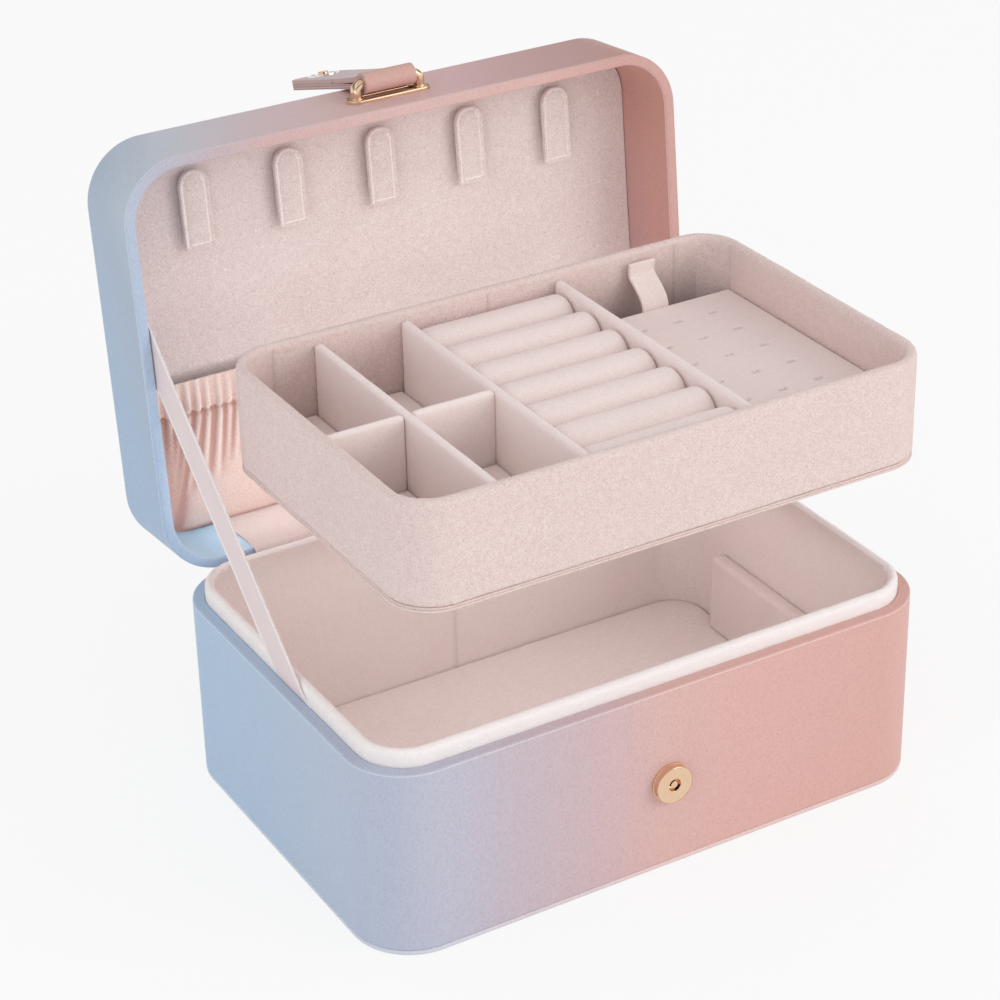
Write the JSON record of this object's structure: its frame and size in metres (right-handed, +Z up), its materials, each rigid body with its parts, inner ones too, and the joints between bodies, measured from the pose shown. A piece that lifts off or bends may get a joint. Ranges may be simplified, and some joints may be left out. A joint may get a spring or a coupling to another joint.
{
  "type": "travel jewelry box",
  "caption": "Rounded leather-wrapped travel jewelry box with a hinged lid, snap strap, velvet lining and a lift-out tray for rings and earrings.",
  "frame": {"origin": "centre of the underside of the base, on the surface that the box stands on", "axes": "+X to the right of someone facing the snap, +Y to the hinge at the back, +Z up"},
  "size_m": [0.22, 0.2445, 0.231],
  "materials": {
    "case_leather": "soft grain",
    "velvet": "short nap",
    "pocket_cloth": "gathered satin",
    "ribbon": "satin, picot edge",
    "strap_leather": "soft grain",
    "gold": "polished",
    "snap_metal": "polished",
    "magnet": "plain",
    "steel": "plain"
  },
  "bodies": {
    "base": {"base_floor_pad": "velvet", "base_liner": "velvet", "base_plate": "case_leather", "base_shell": "case_leather", "hinge_lining": "velvet", "hinge_spine": "case_leather", "ribbon_stay": "ribbon", "snap_cap": "gold", "snap_magnet": "magnet", "snap_washer": "steel", "tray_rest_left": "velvet", "tray_rest_right": "velvet"},
    "lid": {"bracket_backing": "steel", "bracket_rivets": "steel", "latch_bracket": "gold", "lid_panel": "velvet", "lid_pocket": "pocket_cloth", "lid_shell": "case_leather", "necklace_tab_1": "velvet", "necklace_tab_2": "velvet", "necklace_tab_3": "velvet", "necklace_tab_4": "velvet", "necklace_tab_5": "velvet"},
    "latch": {"latch_snap": "snap_metal", "latch_strap": "strap_leather"},
    "tray": {"board_ledge_left": "velvet", "board_ledge_right": "velvet", "compartment_divider": "velvet", "compartment_pad_1": "velvet", "compartment_pad_2": "velvet", "compartment_pad_3": "velvet", "compartment_pad_4": "velvet", "cross_divider_left": "velvet", "cross_divider_right": "velvet", "earring_divider": "velvet", "ring_base": "velvet", "ring_divider": "velvet", "ring_roll_1": "velvet", "ring_roll_2": "velvet", "ring_roll_3": "velvet", "ring_roll_4": "velvet", "ring_roll_5": "velvet", "ring_roll_6": "velvet", "ring_roll_7": "velvet", "tray_bottom": "velvet", "tray_walls": "velvet"},
    "earring_board": {"earring_board": "velvet", "pull_tab": "velvet"}
  },
  "joints": [
    {"name": "lid_hinge", "type": "hinge", "parent": "base", "child": "lid", "pos_m": [0, 0.07635, 0.0706], "axis": [1, 0, 0], "range_deg": [0, 95.34], "deforming": ["ribbon_stay", "hinge_lining", "hinge_spine"]},
    {"name": "tray_lift", "type": "slide", "parent": "base", "child": "tray", "axis": [0.0819, -0.1301, 0.9881], "range_m": [-0.09058, 0]},
    {"name": "latch_hinge", "type": "hinge", "parent": "lid", "child": "latch", "pos_m": [0, 0.10643, 0.22693], "axis": [1, 0, 0], "range_deg": [0, 192.46]},
    {"name": "earring_board_lift", "type": "slide", "parent": "tray", "child": "earring_board", "axis": [0, 0, 1], "range_m": [0, 0.02]}
  ],
  "couplings": [
    {"joint": "tray_lift", "follows": "lid_hinge", "m_per_rad": -0.054434}
  ]
}
